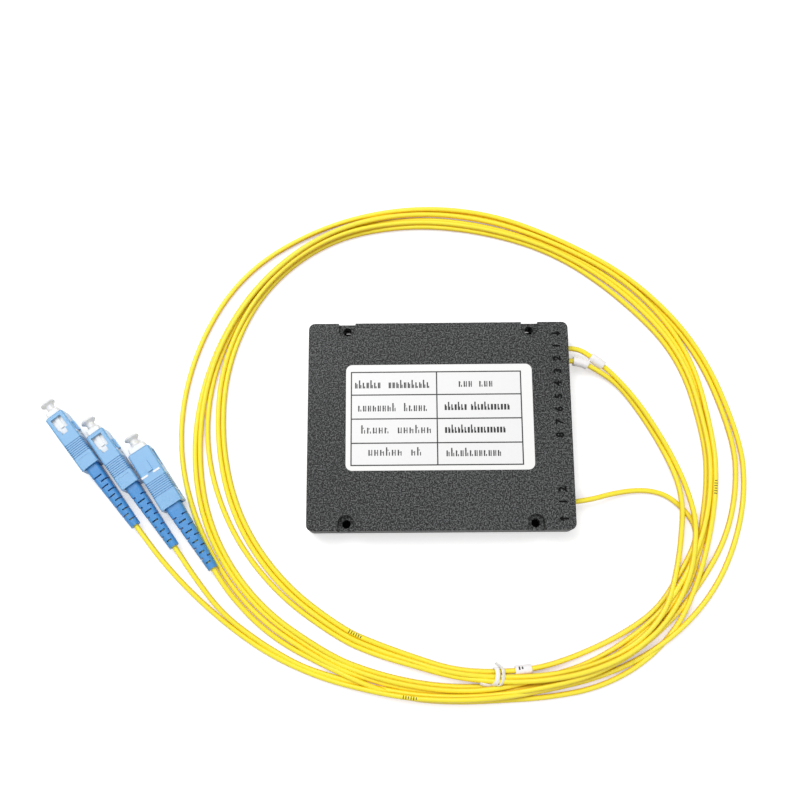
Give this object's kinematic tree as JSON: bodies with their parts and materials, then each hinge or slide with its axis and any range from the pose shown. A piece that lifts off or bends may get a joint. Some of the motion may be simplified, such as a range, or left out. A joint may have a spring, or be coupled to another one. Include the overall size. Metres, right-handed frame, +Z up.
{
  "type": "plc fibre splitter",
  "caption": "Flat black fibre splitter box with coiled yellow fibre cords that end in blue push-pull plugs with clear dust caps.",
  "frame": {"origin": "centre of the box's underside", "axes": "+Z up through the cover, +X towards the side that the cords leave from, +Y towards the output ports"},
  "size_m": [0.271, 0.1937, 0.0102],
  "materials": {
    "boot_blue": "soft moulded",
    "box_plastic": "fine matt texture",
    "cap_clear": "translucent moulded",
    "ceramic": "polished ceramic",
    "cord_yellow": "smooth PVC jacket",
    "fibre_jacket": "thin tube",
    "frame_white": "moulded",
    "housing_blue": "moulded",
    "label_film": "satin printed film",
    "marker_white": "printed sleeve",
    "module_steel": "drawn steel tube",
    "nickel": "nickel plated",
    "soft_black": "soft moulded",
    "spring_steel": "drawn wire",
    "tie_white": "thin strip"
  },
  "bodies": {
    "box_and_cords": {"base_tray": "box_plastic", "cord_coil": "cord_yellow", "input_anchor": "nickel", "input_back_post": "nickel", "input_boot": "boot_blue", "input_crimp_ring": "nickel", "input_fibre": "fibre_jacket", "input_jacket_end": "cord_yellow", "input_lead": "cord_yellow", "input_marker": "marker_white", "input_plug_frame": "frame_white", "input_spring": "spring_steel", "input_tail": "cord_yellow", "label": "label_film", "module_input_boot": "soft_black", "module_output_boot": "soft_black", "output_1_anchor": "nickel", "output_1_back_post": "nickel", "output_1_boot": "boot_blue", "output_1_crimp_ring": "nickel", "output_1_fibre": "fibre_jacket", "output_1_jacket_end": "cord_yellow", "output_1_lead": "cord_yellow", "output_1_marker": "marker_white", "output_1_plug_frame": "frame_white", "output_1_spring": "spring_steel", "output_1_tail": "cord_yellow", "output_2_anchor": "nickel", "output_2_back_post": "nickel", "output_2_boot": "boot_blue", "output_2_crimp_ring": "nickel", "output_2_fibre": "fibre_jacket", "output_2_jacket_end": "cord_yellow", "output_2_lead": "cord_yellow", "output_2_marker": "marker_white", "output_2_plug_frame": "frame_white", "output_2_spring": "spring_steel", "output_2_tail": "cord_yellow", "splitter_module": "module_steel", "top_cover": "box_plastic", "twist_tie": "tie_white"},
    "output_1_outer_housing_slide": {"output_1_outer_housing": "housing_blue"},
    "output_1_cap": {"output_1_dust_cap": "cap_clear"},
    "output_1_ferrule_pin": {"output_1_ferrule": "ceramic", "output_1_ferrule_collar": "nickel"},
    "output_2_outer_housing_slide": {"output_2_outer_housing": "housing_blue"},
    "output_2_cap": {"output_2_dust_cap": "cap_clear"},
    "output_2_ferrule_pin": {"output_2_ferrule": "ceramic", "output_2_ferrule_collar": "nickel"},
    "input_outer_housing_slide": {"input_outer_housing": "housing_blue"},
    "input_cap": {"input_dust_cap": "cap_clear"},
    "input_ferrule_pin": {"input_ferrule": "ceramic", "input_ferrule_collar": "nickel"}
  },
  "joints": [
    {"name": "output_1_unlatch_slide", "type": "slide", "parent": "box_and_cords", "child": "output_1_outer_housing_slide", "axis": [0.617, -0.7869, 0], "range_m": [0, 0.002]},
    {"name": "output_1_cap_pull", "type": "slide", "parent": "box_and_cords", "child": "output_1_cap", "axis": [-0.617, 0.7869, 0], "range_m": [0, 0.009]},
    {"name": "output_1_ferrule_press", "type": "slide", "parent": "box_and_cords", "child": "output_1_ferrule_pin", "axis": [0.617, -0.7869, 0], "range_m": [0, 0.001], "stiffness_N_per_m": 900, "springref_m": -0.008, "deforming": ["output_1_spring"]},
    {"name": "output_2_unlatch_slide", "type": "slide", "parent": "box_and_cords", "child": "output_2_outer_housing_slide", "axis": [0.5948, -0.8039, 0], "range_m": [0, 0.002]},
    {"name": "output_2_cap_pull", "type": "slide", "parent": "box_and_cords", "child": "output_2_cap", "axis": [-0.5948, 0.8039, 0], "range_m": [0, 0.009]},
    {"name": "output_2_ferrule_press", "type": "slide", "parent": "box_and_cords", "child": "output_2_ferrule_pin", "axis": [0.5948, -0.8039, 0], "range_m": [0, 0.001], "stiffness_N_per_m": 900, "springref_m": -0.008, "deforming": ["output_2_spring"]},
    {"name": "input_unlatch_slide", "type": "slide", "parent": "box_and_cords", "child": "input_outer_housing_slide", "axis": [0.5577, -0.83, 0], "range_m": [0, 0.002]},
    {"name": "input_cap_pull", "type": "slide", "parent": "box_and_cords", "child": "input_cap", "axis": [-0.5577, 0.83, 0], "range_m": [0, 0.009]},
    {"name": "input_ferrule_press", "type": "slide", "parent": "box_and_cords", "child": "input_ferrule_pin", "axis": [0.5577, -0.83, 0], "range_m": [0, 0.001], "stiffness_N_per_m": 900, "springref_m": -0.008, "deforming": ["input_spring"]}
  ]
}
